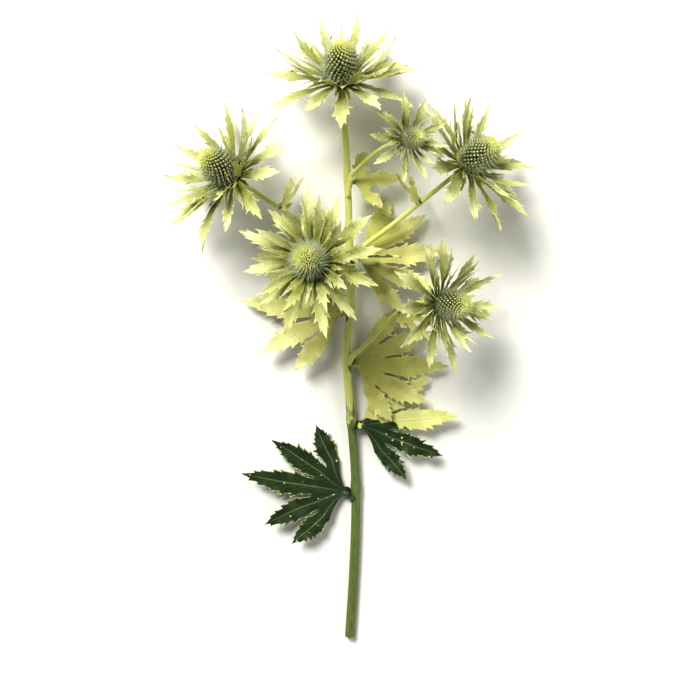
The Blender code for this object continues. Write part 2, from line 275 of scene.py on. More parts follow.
def side_curve(head, steps):
    """A side stalk's middle line up to its seat, the way it leaves the stem, and its size."""
    node = Vector(MAIN_ROUTE[head.node])
    axis = Vector(head.axis).normalized()
    end = Vector(head.base) - axis * SEAT_BELOW_HEAD
    out = Vector((end.x - node.x, 0, end.z - node.z)).normalized()
    leave = (out * SIDE_OUT + Vector((0, SIDE_ALONG, 0))).normalized()
    size = max(head.size, THINNEST_SIDE)
    root = node + out * (node_radius(head.node) + SIDE_ROOT_RADIUS * size * SIDE_SUNK + STEM_GAP)
    pull = SIDE_PULL * (end - root).length
    return bezier(root, root + leave * pull, end - axis * pull, end, steps)[:-1], leave, size


def side_route(head):
    """Middle line and radii of a side stalk, from inside the main stem up to its head."""
    line, leave, size = side_curve(head, 40)
    node = Vector(MAIN_ROUTE[head.node])
    out = Vector((leave.x, 0, leave.z)).normalized()
    route = [node + out * away + Vector((0, along, 0)) for away, along in SIDE_PEEL] + line
    radii = []
    for i in range(len(route)):
        flare = 0.22 * math.exp(-((i - 4) / 3.0) ** 2)
        radius = SIDE_ROOT_RADIUS + (SIDE_NECK_RADIUS - SIDE_ROOT_RADIUS) * i / len(route)
        radii.append(size * radius * (1 + flare))
    return add_seat(route, radii, head)


main_line, main_radii = main_route()
print("main stem:", len(main_line), "points, widest", round(max(main_radii), 2), "mm")

# %% [markdown]
# ## Colours and one helper for nodes
# Picture colours are sRGB, and shaders work in linear light, so one function turns a hex code into
# linear values. A second one gives a node's inputs their values or links, and a third adds a node
# of any kind, which keeps each material to a few readable lines. Values stand in the order of the
# node's inputs: a Map Range takes a value, the range it comes from and the range it goes to, a Mix
# takes a factor and two colours, and a noise takes a place, a scale, a detail and a roughness.

# %% Colour and node helpers
SIGNS = {"+": "ADD", "-": "SUBTRACT", "*": "MULTIPLY", "/": "DIVIDE", "*+": "MULTIPLY_ADD"}
USUAL = {"Mix": {"data_type": "RGBA"}}      # settings that every node of a kind gets here


def srgb(code):
    """A hex colour as the linear values a shader works in."""
    parts = [int(code[i:i + 2], 16) / 255 for i in (1, 3, 5)]
    return [p / 12.92 if p <= 0.04045 else ((p + 0.055) / 1.055) ** 2.4 for p in parts] + [1.0]


def fill(node, *values):
    """Sets a node's inputs in their order, or by name where a value is a dict.

    A value is a number, a vector, a hex colour, a socket, or a node whose first output is meant."""
    sockets = [s for s in node.inputs if s.enabled]
    pairs = []
    for socket, value in zip(sockets, values):
        pairs += value.items() if isinstance(value, dict) else [(socket.identifier, value)]
    for key, value in pairs:
        socket = next(s for s in sockets if key in (s.identifier, s.name))
        if isinstance(value, bpy.types.Node):
            value = next(s for s in value.outputs if s.enabled)
        if isinstance(value, bpy.types.NodeSocket):
            node.id_data.links.new(value, socket)
        else:
            socket.default_value = srgb(value) if str(value).startswith("#") else value


def add_node(tree, kind, *values, **settings):
    """A new node. Its kind drops ShaderNode and may carry an operation after a colon, or is a sign."""
    kind, _, operation = ("Math:" + SIGNS[kind] if kind in SIGNS else kind).partition(":")
    made = tree.nodes.new(kind if "Node" in kind else "ShaderNode" + kind)
    if operation:
        made.operation = operation
    for name, value in (USUAL.get(kind, {}) | settings).items():
        setattr(made, name, value)
    fill(made, *values)
    return made


def new_finish(name):
    """A material with its Principled shader on the output: it, its add, its shader, its place."""
    mat = bpy.data.materials.new(name)
    mat.use_nodes = True
    mat.node_tree.nodes.clear()
    add = partial(add_node, mat.node_tree)
    shader = add("BsdfPrincipled")
    add("OutputMaterial", shader)
    return mat, add, shader, add("TexCoord").outputs["Object"]


LEMON = "#DFE1B0"
LEMON_DEEP = "#A0A33E"
SILVER_GREEN = "#5A6029"
print("lemon in linear light:", [round(v, 3) for v in srgb(LEMON)])

# %% [markdown]
# ## Tinted bract
# A sea holly bract is stiff, waxy and silver-green, with a pale midrib and fine veins along it. The
# florist's tint dries on it as a thin satin coat: thick and lemon on the blade, thin near the
# base and along the veins, where silver-green shows through. The darker base is also painted
# shade, standing for the shade that the cone and the bracts above cast there. Each bract carries a
# UV map, with x across it and y along it, so the veins follow the blade however it bends.

# %% The bract's finish
def blade_place(add):
    """How far a point lies from its blade's midrib (0 to 0.5), and how far along the blade."""
    split = add("SeparateXYZ", add("UVMap", uv_map="blade"))
    return add("Math:ABSOLUTE", add("-", split.outputs["X"], 0.5)), split.outputs["Y"]


VEINS = 9.5             # across the whole blade, so about four fine ones to each side of the midrib
SIDE_VEINS = 8.0        # along a lobe of a lower leaf


def tinted_bract(name, lemon, deep, under, thin_from, thin_to, bare):
    """Tint over a silver-green blade. It thins from one place along the blade down to another, and the
    darker base also paints shade.
    """
    mat, add, shader, place = new_finish(name)
    across, along = blade_place(add)
    tone = add("Attribute", attribute_name="tone").outputs["Fac"]
    # Blotches where the tint dried thicker or thinner, about 8 mm and 1.5 mm across.
    blotch = add("TexNoise", place, 120.0, 3.0)
    speck = add("TexNoise", place, 900.0, 2.0)
    wander = add("*+", blotch, 0.07, across)
    # The coat buries the veins towards the tip and the edges, and breaks them up where it is thick.
    wave = add("Math:COSINE", add("*", wander, VEINS * math.tau))
    vein = add("MapRange", wave, 0.72, 1.0, interpolation_type="SMOOTHSTEP")
    to_tip = add("MapRange", along, 0.2, 0.85, 1.0, 0.1)
    to_edge = add("MapRange", across, 0.08, 0.42, 1.0, 0.2)
    thick = add("MapRange", blotch, 0.4, 0.62, 0.25)
    shown = add("*", add("*", add("*", to_tip, to_edge), thick), vein)
    midrib = add("MapRange", across, 0.045, 0.012)
    base = add("MapRange", along, thin_from, thin_to)
    # How bare the blade is: at its base, on its veins, and in blotches. The bare base is partly painted
    # shade.
    on_vein = add("*", shown, 0.62)
    thin_and_shaded_base = add("*+", base, 0.85, on_vein)
    patch = add("MapRange", blotch, 0.54, 0.76, 0.0, 0.28)
    bare_all = add("+", patch, thin_and_shaded_base)
    grain = add("MapRange", speck, 0.35, 0.65, 0.55, 1.25)
    thin = add("*", bare_all, grain)
    thin = add("*", thin, bare, use_clamp=True)
    # The coat is palest at the tips and deeper towards the base, which is painted shade,
    # and each blade has its own tone.
    foot = add("MapRange", along, 0.15, 0.8, 0.7, 0.0)
    depth = add("*+", tone, 0.42, foot, use_clamp=True)
    coat = add("Mix", depth, lemon, deep)
    colour = add("Mix", thin, coat, under)
    # The horny margin and its spines stay pale. A leaf's palm, where y is below 0, has no margin.
    on_lobe = add("MapRange", along, 0.0, 0.05)
    margin = add("*", add("MapRange", across, 0.445, 0.485, 0.0, 0.7), on_lobe)
    colour = add("Mix", margin, colour, lemon)
    relief = add("*+", speck, 0.35, add("*+", midrib, 1.4, shown))
    bump = add("Bump", {"Height": relief, "Strength": 0.5, "Distance": 0.00025})
    rough = add("MapRange", speck, 0.0, 1.0, 0.42, 0.62)
    fill(shader, {"Base Color": colour, "Roughness": rough, "Normal": bump, "Specular IOR Level": 0.5,
                  "Subsurface Weight": 0.12, "Subsurface Radius": (0.4, 0.5, 0.12),
                  "Subsurface Scale": 0.0012})
    return mat


bract_top = tinted_bract("lemon_tint_on_bract", LEMON, LEMON_DEEP, SILVER_GREEN, 0.80, 0.05, 1.0)
# The back finishes are darker copies of the top ones: thinner tint underneath, and painted shade.
bract_back = tinted_bract("lemon_tint_on_bract_back", "#B8BB6E", "#999C46", "#666E38", 0.65, -0.1, 1.2)
leaf_top = tinted_bract("lemon_tint_on_leaf", "#DEDCA4", "#BEBC6E", "#848C50", -0.10, -1.2, 1.0)
# The leaf's back is darker in the same way: thinner tint and painted shade.
leaf_back = tinted_bract("lemon_tint_on_leaf_back", "#B8BB72", "#9C9F4C", "#6A7440", -0.2, -1.0, 1.2)
print("tint finishes:", bract_top.name, bract_back.name, leaf_top.name, leaf_back.name)

# %% [markdown]
# ## Half-dipped lower leaf
# The florist dips the top of the stem in tint, head down. So the coat ends in a sharp wavy line, and
# below it the leaf keeps its own dark, waxy green with pale veins and a pale horny margin. The line is
# a level across the object, shaken by noise at two sizes, and a few drops cling below it.

# %% The lower leaf's finish
DIP_LINE = -0.062       # the level of the tint along the stem, from the object's middle, in metres
DIP_SLOPE = 0.35        # the leaves hung down into the tint, so it reached further at their tips
BROAD_SHAKE = 0.050     # how much the broad and the fine noise can move the line, in metres
FINE_SHAKE = 0.008
EDGE_BLUR = 0.0003


def dipped_leaf(name, green, deep, vein_colour, lemon, lemon_deep):
    """Waxy green with pale veins and margin below the dip line, tinted above it."""
    mat, add, shader, place = new_finish(name)
    across, along = blade_place(add)
    spot = add("SeparateXYZ", place)
    blotch = add("TexNoise", place, 90.0, 4.0)
    midrib = add("MapRange", across, 0.06, 0.012)
    # Side veins leave the midrib at a slant, wander a little and fade before the edge.
    slant = add("*+", across, -0.55, along)
    wander = add("*+", blotch, 0.1, slant)
    wave = add("Math:COSINE", add("*", wander, SIDE_VEINS * math.tau))
    fade = add("MapRange", across, 0.42, 0.1, 0.0, 0.55)
    vein = add("Math:MAXIMUM", midrib, add("*", add("MapRange", wave, 0.92, 1.0), fade))
    # Metres above the dip line, shaken by both noises. Noise keeps near its middle, so the line
    # moves about 8 mm and 2 mm.
    outward = add("Math:ABSOLUTE", spot.outputs["X"])
    level = add("*+", outward, DIP_SLOPE, spot.outputs["Y"])
    broad = add("TexNoise", place, 45.0, 2.0)
    fine = add("TexNoise", place, 420.0, 4.0, 0.7)
    level = add("*+", broad, BROAD_SHAKE, level)
    level = add("*+", fine, FINE_SHAKE, level)
    wet = 0.5 * (BROAD_SHAKE + FINE_SHAKE) + DIP_LINE
    dipped = add("MapRange", level, wet - EDGE_BLUR, wet + EDGE_BLUR)
    # Drops that ran to the spines: the margin's points catch tint where the fine noise is high.
    margin = add("*", add("MapRange", across, 0.462, 0.482), add("MapRange", along, 0.0, 0.05))
    drop = add("*", add("MapRange", fine, 0.5, 0.54), margin)
    # Stray drops on the blade: a few Voronoi cells are switched on, with edges bent by the noise.
    bent = add("VectorMath:ADD", add("VectorMath:SCALE", fine.outputs["Color"], 0.0016), place)
    cells = add("TexVoronoi", bent, 380.0, {"Randomness": 1.0})
    pick = add("SeparateColor", cells.outputs["Color"])
    size = add("MapRange", pick.outputs["Red"], 0.9, 1.0, 0.0, 0.42)
    stray = add("Math:LESS_THAN", cells.outputs["Distance"], size)
    tint = add("Math:MAXIMUM", add("Math:MAXIMUM", dipped, drop), stray)
    green_mix = add("Mix", blotch, deep, green)
    pale = add("*+", margin, 0.8, vein)
    faint = add("*", pale, 0.5, use_clamp=True)
    veined = add("Mix", faint, green_mix, vein_colour)
    coat = add("Mix", blotch, lemon, lemon_deep)
    colour = add("Mix", tint, veined, coat)
    relief = add("*+", tint, 0.5, vein)
    bump = add("Bump", {"Height": relief, "Strength": 0.6, "Distance": 0.0003})
    rough = add("MapRange", tint, 0.0, 1.0, 0.4, 0.52)
    fill(shader, {"Base Color": colour, "Roughness": rough, "Normal": bump, "Subsurface Weight": 0.08,
                  "Subsurface Radius": (0.3, 0.5, 0.1), "Subsurface Scale": 0.001})
    return mat


low_top = dipped_leaf("waxy_green_leaf_half_dipped",
                      "#3A512E", "#1D2D1B", "#8A9B68", "#E2E2A0", "#C8CA78")
low_back = dipped_leaf("waxy_green_leaf_back_half_dipped",
                       "#5A6E4E", "#42563B", "#9CAA80", "#DCDFA0", "#C4C874")
print("leaf finishes:", low_top.name, low_back.name)

# %% [markdown]
# ## Stalk
# A sea holly stalk is ribbed and waxy. Near the heads it wears the tint, with olive in the grooves.
# Lower down the coat breaks up into flecks and the green stem shows. The stalk carries two
# attributes made with its mesh: along, in metres from its lower end, and groove, from 0 on a rib to
# 1 in a groove.

# %% The stalk's finish
def tinted_stalk(name, fade_start, fade_end):
    """Tint on a ribbed green stalk. It fades out between the two distances, in metres."""
    mat, add, shader, place = new_finish(name)
    along, groove = [add("Attribute", attribute_name=name).outputs["Fac"]
                     for name in ("along", "groove")]
    streak_place = add("Mapping", {"Vector": place, "Scale": (1.0, 0.22, 1.0)})
    streak = add("TexNoise", streak_place, 500.0, 3.0)
    blotch = add("TexNoise", streak_place, 420.0, 5.0, 0.6)
    reach = add("MapRange", along, fade_start, fade_end)
    # The coat holds where the reach of the tint beats the noise, so its edge breaks into flecks.
    contest = add("*+", reach, 1.25, -0.72)
    contest = add("+", contest, blotch)
    contest = add("*+", groove, -0.1, contest)
    coat = add("MapRange", contest, 0.18, 0.34)
    green = add("Mix", streak, "#455630", "#7F8D50")
    lemon = add("Mix", streak, "#CFD284", "#E6E8A4")
    # Towards the grooves the lemon darkens: painted shade in the grooves.
    shaded = add("Mix", groove, lemon, "#BEC270")
    colour = add("Mix", coat, green, shaded)
    bump = add("Bump", {"Height": streak, "Strength": 0.35, "Distance": 0.0003})
    rough = add("MapRange", streak, 0.0, 1.0, 0.4, 0.62)
    fill(shader, {"Base Color": colour, "Roughness": rough, "Normal": bump})
    return mat


main_skin = tinted_stalk("tinted_ribbed_stem", 0.16, 0.27)
side_skin = tinted_stalk("tinted_ribbed_stalk", -0.2, -0.1)
print("stalk finishes:", main_skin.name, side_skin.name)

# %% [markdown]
# ## Cut end
# The florist's knife leaves a clean face: a green rim of skin, a ring of pale wood with bundles in
# it, and white spongy pith. The distance from the stem's middle line tells the three zones apart, and
# a little noise keeps their borders from looking drawn with compasses.

# %% The cut face's finish
def cut_pith(name, centre):
    """The cut face: a green rim, pale wood with bundles in a ring, and white pith in the middle."""
    mat, add, shader, place = new_finish(name)
    away = add("VectorMath:SUBTRACT", place, centre)
    flat = add("VectorMath:MULTIPLY", away, (1.0, 0.0, 1.0))
    reach = add("VectorMath:LENGTH", flat)
    sponge = add("TexVoronoi", place, 2600.0)
    shaken = add("*+", sponge, 0.0003, reach)
    pith = add("Mix", sponge, "#F0EED6", "#CFCBA4")
    bundles = add("TexVoronoi", place, 900.0, {"Randomness": 0.6})
    dots = add("MapRange", bundles, 0.25, 0.4)
    wood = add("Mix", dots, "#7E8748", "#C4C88C")
    in_wood = add("MapRange", shaken, 0.0026, 0.0029)
    in_rim = add("MapRange", shaken, 0.0038, 0.004)
    inner = add("Mix", in_wood, pith, wood)
    colour = add("Mix", in_rim, inner, "#5F6E38")
    bump = add("Bump", {"Height": sponge, "Strength": 0.5, "Distance": 0.0002})
    fill(shader, {"Base Color": colour, "Roughness": 0.75, "Normal": bump})
    return mat


cut_face = cut_pith("cut_stem_pith", placed(MAIN_ROUTE[0]))
print("cut finish:", cut_face.name)

# %% [markdown]
# ## Florets and core
# The cone's florets are grey-green spines with paler buds between them. The tint is thickest on the
# crown, which went in first, and on every tip, and the gaps stay dark olive: the core is coloured dark
# to paint the shade deep between the florets. Three attributes steer this: crown, the share of the
# cone's height; tip, from 0 at a foot to 1 at a point; and bud, which is 1 on buds and sepals and 0
# on spines.

# %% The cone's finishes
def spiny_floret(name):
    """Grey-green spines and cream buds, more tinted towards the crown."""
    mat, add, shader, place = new_finish(name)
    crown, tip, bud = [add("Attribute", attribute_name=name).outputs["Fac"]
                       for name in ("crown", "tip", "bud")]
    cloud = add("TexNoise", place, 220.0, 2.0)
    speck = add("TexNoise", place, 1400.0, 2.0)
    spine = add("Mix", tip, "#788466", "#C4CCB2")
    bud_colour = add("Mix", tip, "#6C7442", "#E6E8BC")
    bare = add("Mix", bud, spine, bud_colour)
    # Coat by height on the cone, helped by the tip and broken up by noise.
    height = add("MapRange", crown, 0.68, 1.03)
    lifted = add("*+", tip, 0.22, height)
    broken = add("*+", cloud, 0.7, lifted)
    coat = add("MapRange", broken, 0.52, 1.25)
    lemon = add("Mix", speck, "#E0E292", "#F2F4C2")
    colour = add("Mix", coat, bare, lemon)
    rough = add("MapRange", speck, 0.0, 1.0, 0.45, 0.7)
    fill(shader, {"Base Color": colour, "Roughness": rough, "Specular IOR Level": 0.35})
    return mat


def core_darkened_as_shade(name):
    """The olive flesh between the florets, coloured dark to paint the shade in the deep gaps."""
    mat, add, shader, place = new_finish(name)
    mottle = add("TexNoise", place, 600.0, 3.0)
    colour = add("Mix", mottle, "#2C3012", "#5A5E2A")
    fill(shader, {"Base Color": colour, "Roughness": 0.8})
    return mat


floret_skin = spiny_floret("spiny_floret_under_tint")
core_skin = core_darkened_as_shade("olive_cone_core")
print("cone finishes:", floret_skin.name, core_skin.name)

# %% [markdown]
# ## Outline of a bract
# A bract is narrow at its root, widest near the middle and drawn out into a spine. Its few teeth
# are spines too: each rises slowly along the edge, leans forwards and ends in a point ahead of its
# foot. One formula gives the body. The teeth are added to the edge alone, so that every bract has
# its own teeth and the veins inside stay smooth.

# %% Body and teeth
Shape = namedtuple("Shape", "body root widest taper teeth lean sweep fold")
RUFF_SHAPE = Shape(0.70, 0.34, 0.56, 1.45, [(0.37, 0.16), (0.50, 0.52), (0.63, 0.48), (0.77, 0.14)],
                   0.070, 0.050, 19.0)
SPEAR_SHAPE = Shape(0.64, 0.36, 0.52, 1.20, [(0.36, 0.26), (0.52, 0.52), (0.67, 0.36)],
                    0.075, 0.045, 19.0)
LOBE_SHAPE = Shape(0.84, 0.74, 0.34, 1.25, [(0.13, 0.16), (0.26, 0.32), (0.40, 0.28), (0.53, 0.30),
                                            (0.67, 0.20), (0.80, 0.14)], 0.045, 0.050, 9.0)
THREAD_SHAPE = Shape(1.0, 0.60, 0.40, 1.0, [(0.45, 0.6), (0.70, 0.4)], 0.05, 0.03, 10.0)
ROWS = 40
TOOTH_ROWS = 4


def body_share(shape, t):
    """Half width of the blade's body at t, as a share of its full half width."""
    rise = min(1.0, t / shape.widest)
    rise = rise * rise * (3 - 2 * rise)
    fall = max(0.0, (t - shape.widest) / (1 - shape.widest))
    return shape.body * (shape.root + (1 - shape.root) * rise) * (1 - fall ** shape.taper)


def edge_teeth(shape, chance):
    """How far one edge stands out and leans forwards at each row, from root to tip."""
    edge = [(0.0, 0.0)] * ROWS
    for place, height in shape.teeth:
        peak = round((place + chance.uniform(-0.035, 0.035)) * ROWS)
        height *= chance.uniform(0.6, 1.25)
        for back in range(TOOTH_ROWS):
            share = (1 - back / TOOTH_ROWS) ** 1.6
            edge[peak - back] = (height * share, shape.lean * share)
    return edge


print("rows in a blade:", ROWS, "teeth on a ruff bract:", 2 * len(RUFF_SHAPE.teeth))

# %% [markdown]
# ## Blades
# A blade is a grid of points: rows from root to tip, columns from one edge over the midrib to the
# other. It is folded a little along the midrib, its edges wave, and its teeth lift and drop, as
# spiny leaves do. Solidify then gives it a wall that is thick at the midrib and fine at the edge.
# The grid is mesh code because every point follows the bract's own bend and twist. Its faces are
# turned over at the end, so that the first finish lies on the side that faces the head.

# %% A blade's grid
COLUMNS = (-1.0, -0.84, -0.56, -0.28, 0.0, 0.28, 0.56, 0.84, 1.0)
EDGE_POWER = 8          # how closely a tooth keeps to the edge
CLAW_END = 0.33         # the share of a blade over which its fold and waves set in
WAVE = 0.12             # how high an edge waves, as a share of the blade's half width
RIPPLES = 15            # the edge's wave from root to tip, in radians
OTHER_EDGE = 2.1        # how far one edge's wave is ahead of the other's, in radians
ARCH = 0.9              # how high the blade bows, in millimetres
BOWS = 5.0              # the bow's wave from root to tip, in radians
WELD = 0.00002          # points closer than this are one, in metres
SHARP = math.radians(42)


def band(lower, upper, closed=False):
    """The faces between two rows of points, joined into a tube if closed."""
    after = [*range(1, len(lower)), 0]
    return [(lower[i], lower[j], upper[j], upper[i]) for i, j in enumerate(after) if j or closed]


def fan(row, tip, closed=False):
    """The faces between a row of points and one tip."""
    after = [*range(1, len(row)), 0]
    return [(row[i], row[j], tip) for i, j in enumerate(after) if j or closed]


def skin_rows(rows, closed=False):
    """The faces over rows of points, from the first row to the last."""
    return [face for lower, upper in zip(rows, rows[1:]) for face in band(lower, upper, closed)]


class Sheet:
    """Points, faces and per-corner values of a piece that is made of several blades."""

    def __init__(self):
        self.points = []
        self.faces = []
        self.uvs = []
        self.tones = []
        self.walls = []

    def add_point(self, point, uv, tone, wall):
        """Keeps one point, given in the plan's millimetres, and returns its number."""
        self.points.append(placed(point))
        self.uvs.append(uv)
        self.tones.append(tone)
        self.walls.append(wall)
        return len(self.points) - 1


def add_blade(sheet, spot, blade, shape, chance, claw=()):
    """Adds a blade to a sheet. spot is (centre, axis, first direction, ring radius)."""
    centre, axis, first, ring = spot
    edges = {-1: edge_teeth(shape, chance), 1: edge_teeth(shape, chance)}
    tone = chance.uniform(0.0, 1.0)
    fold = math.tan(math.radians(shape.fold * chance.uniform(0.6, 1.4)))
    phase = [chance.uniform(0, math.tau) for _ in range(3)]
    wave = chance.uniform(0.5, 1.2) * WAVE * blade.half_width
    grid = []
    for height, inward, width in claw:
        out = Matrix.Rotation(blade.azimuth, 3, axis) @ first
        side = axis.cross(out)
        middle = centre + out * (ring - inward) + axis * height
        grid.append([sheet.add_point(middle + side * width * blade.half_width * c,
                                     (0.5 + 0.5 * c, 0.0), tone, 0.8) for c in COLUMNS])
    for row in range(ROWS):
        line = []
        for c in COLUMNS:
            height, lean = edges[1 if c > 0 else -1][row]
            share = abs(c)
            near_edge = share ** EDGE_POWER
            t = row / ROWS
            set_in = min(1.0, t / CLAW_END)
            x = (share * body_share(shape, t) + near_edge * height) * blade.half_width
            t += shape.sweep * math.sin(math.pi * t) * share + lean * near_edge
            point, side, tangent = blade_frame(centre, axis, first, blade, ring, t)
            ripple = math.sin(t * RIPPLES + phase[0] + (0 if c > 0 else OTHER_EDGE)) * share ** 2
            arch = math.sin(t * BOWS + phase[1]) * ARCH
            spike = height * near_edge * math.sin(row * 2.4 + phase[2]) * blade.half_width * 0.5
            rise = (fold * x + wave * ripple + arch + spike) * set_in
            wall = (1.0 - 0.62 * share ** 1.5) * (1 - 0.4 * t)
            line.append(sheet.add_point(point + math.copysign(x, c) * side + rise * tangent.cross(side),
                                        (0.5 + 0.5 * c, row / ROWS), tone, wall))
        grid.append(line)
    point, side, tangent = blade_frame(centre, axis, first, blade, ring, 1.0)
    arch = math.sin(BOWS + phase[1]) * ARCH
    tip = sheet.add_point(point + tangent.cross(side) * arch, (0.5, 1.0), tone, 0.3)
    sheet.faces += skin_rows(grid) + fan(grid[-1], tip)
    return grid


def new_object(name, data):
    """An object in the scene that holds the data."""
    made = bpy.data.objects.new(name, data)
    bpy.context.collection.objects.link(made)
    return made


def finish_sheet(name, sheet, wall, top, back):
    """A plain closed mesh object from a sheet: welded, thickened and smooth, with its UV map."""
    mesh = bpy.data.meshes.new(name)
    mesh.from_pydata(sheet.points, [], [face[::-1] for face in sheet.faces])
    layer = mesh.uv_layers.new(name="blade")
    corners = np.empty(len(mesh.loops), dtype=np.int32)
    mesh.loops.foreach_get("vertex_index", corners)
    layer.data.foreach_set("uv", np.array(sheet.uvs, dtype=np.float32)[corners].ravel())
    mesh.attributes.new("tone", "FLOAT", "POINT").data.foreach_set("value", sheet.tones)
    draft = new_object(name + "_draft", mesh)
    group = draft.vertex_groups.new(name="wall")
    for i, weight in enumerate(sheet.walls):
        group.add([i], weight, "REPLACE")
    for finish in (top, back):
        mesh.materials.append(finish)
    weld = draft.modifiers.new("weld", "WELD")
    weld.merge_threshold = WELD
    solid = draft.modifiers.new("wall", "SOLIDIFY")
    solid.thickness = wall * MM
    solid.offset = 0.0
    solid.vertex_group = "wall"
    # The back takes the second finish, which on bracts and upper leaves is darker, partly painted
    # shade.
    solid.material_offset = 1
    return settle(draft, name)


def settle(draft, name):
    """The evaluated draft as a plain mesh object, with the draft and its modifiers gone."""
    deps = bpy.context.evaluated_depsgraph_get()
    mesh = bpy.data.meshes.new_from_object(draft.evaluated_get(deps), depsgraph=deps)
    bpy.data.objects.remove(draft, do_unlink=True)
    mesh.name = name
    mesh.shade_smooth()
    mesh.set_sharp_from_angle(angle=SHARP)
    return new_object(name, mesh)


def hand_over(piece, node):
    """Sets the piece to ride on the root and hides the solid it stands for; returns its face count."""
    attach(piece, "root")
    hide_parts(node)
    return len(piece.data.polygons)


print("columns across a blade:", len(COLUMNS))

# %% [markdown]
# ## Ruffs
# Under each cone stand two whorls of bracts: an outer one that spreads almost flat, and an inner one
# of narrow spears that sweeps up round the cone. Their feet run together into a shallow cup on the
# stalk's end. A few thread-like bracts fill the gaps, as they do on the plant.

# %% Both whorls of every head
SHEET_WALL = 0.75       # thickness of a bract or leaf at its midrib, in millimetres
CUP_SIDES = 36
OUTER_CLAW = [(-4.6, 4.6, 0.16), (-3.0, 3.9, 0.18), (-1.5, 2.5, 0.20), (-0.5, 1.2, 0.22)]
INNER_CLAW = [(-0.6, 3.0, 0.24), (-0.5, 1.4, 0.26)]


def add_cup(sheet, spot, profile):
    """A shallow turned cup that the feet of the bracts grow from."""
    centre, axis, first, _ = spot
    rings = []
    for radius, height in profile:
        ring = []
        for i in range(CUP_SIDES):
            out = Matrix.Rotation(math.tau * i / CUP_SIDES, 3, axis) @ first
            ring.append(sheet.add_point(centre + out * radius + axis * height, (0.3, 0.02), 0.6, 0.6))
        rings.append(ring)
    sheet.faces += skin_rows(rings, closed=True)


def make_ruff(head, inner):
    """One whorl of bracts, as one piece."""
    rotation = head_frame(head)
    axis, first = rotation.col[2], rotation.col[0]
    centre = Vector(head.base) + axis * (INNER_RING_LEVEL if inner else 0)
    ring = RING_IN + (RING_OUT - RING_IN) * head.size
    spot = (centre, axis, first, ring)
    chance = random.Random(head.seed * 7 + (1 if inner else 0))
    sheet = Sheet()
    shape = SPEAR_SHAPE if inner else RUFF_SHAPE
    claw = INNER_CLAW if inner else OUTER_CLAW
    blades = ruff_blades(head, inner)
    for blade in blades:
        add_blade(sheet, spot, blade, shape, chance, claw)
    # Threads fill the gaps: long ones round the cone, and short ones that point back to the stalk.
    shares, turn_back = ((0.60, 0.95), (-4, 20)) if inner else ((0.30, 0.55), (14, 34))
    for blade in blades:
        thin = blade._replace(azimuth=blade.azimuth + math.pi / len(blades),
                              half_width=chance.uniform(1.3, 2.0) * head.size,
                              length=blade.length * chance.uniform(*shares),
                              end=blade.end + math.radians(chance.uniform(*turn_back)))
        add_blade(sheet, spot, thin, THREAD_SHAPE, chance)
    rim = ring + 0.6
    if inner:
        profile = [(SEAT_RADIUS - 0.4, -0.2), (ring - 1.5, -0.5), (rim, 0.1)]
    else:
        profile = [(SEAT_RADIUS - 1.2, -4.8), (SEAT_RADIUS + 0.2, -3.2), (ring - 1.6, -1.2),
                   (rim, -0.2)]
    add_cup(sheet, spot, profile)
    name = ("inner_ruff_" if inner else "outer_ruff_") + head.name
    piece = finish_sheet(name + "_bracts", sheet, SHEET_WALL, bract_top, bract_back)
    return hand_over(piece, name)


faces = [make_ruff(head, inner) for head in HEADS for inner in (False, True)]
print("ruffs:", len(faces), "faces:", sum(faces))

# %% [markdown]
# ## Leaves
# A stem leaf is palmate: three to five lobes share one palm, each with its own midrib that starts at
# the stalk. The palm is drawn as wedges, one to a lobe, whose edges meet halfway between two
# midribs. Neighbouring wedges use the same points there, so welding joins them into one sheet. The
# foot of the leaf clasps the stalk with a short sheath, which turns until it lies in the leaf's
# plane.

# %% Palmate leaves
PALM_ROWS = 9
PALM_START = 7.0
# The sheath's rows: how far below the leaf and how far out they lie, their share of clasp, and their
# share of the widest wrap round the stalk.
SHEATH = ((8.0, 0.0, 1.0, 0.35), (6.0, 0.0, 1.0, 0.70), (3.5, 0.0, 1.0, 0.92), (1.5, 0.4, 0.98, 1.0),
          (0.3, 1.6, 0.84, 1.0), (0.0, 3.4, 0.45, 1.0))
SHEATH_WRAP = math.radians(80)
PETIOLE_HALF = 4.0


def stalk_place(leaf):
    """Centre, radius and direction of the stalk where a leaf grows on it."""
    if leaf.host == "main":
        centre = Vector(MAIN_ROUTE[leaf.place]) - Vector((0, LEAF_BELOW_NODE, 0))
        return centre, node_radius(leaf.place), Vector((0, 1, 0))
    line, _, size = side_curve(next(h for h in HEADS if h.name == leaf.host), 9)
    last = len(line) + 3
    index = round(leaf.place * last)
    radius = SIDE_ROOT_RADIUS + (SIDE_NECK_RADIUS - SIDE_ROOT_RADIUS) * index / last
    return line[index], size * radius, (line[index + 1] - line[index - 1]).normalized()


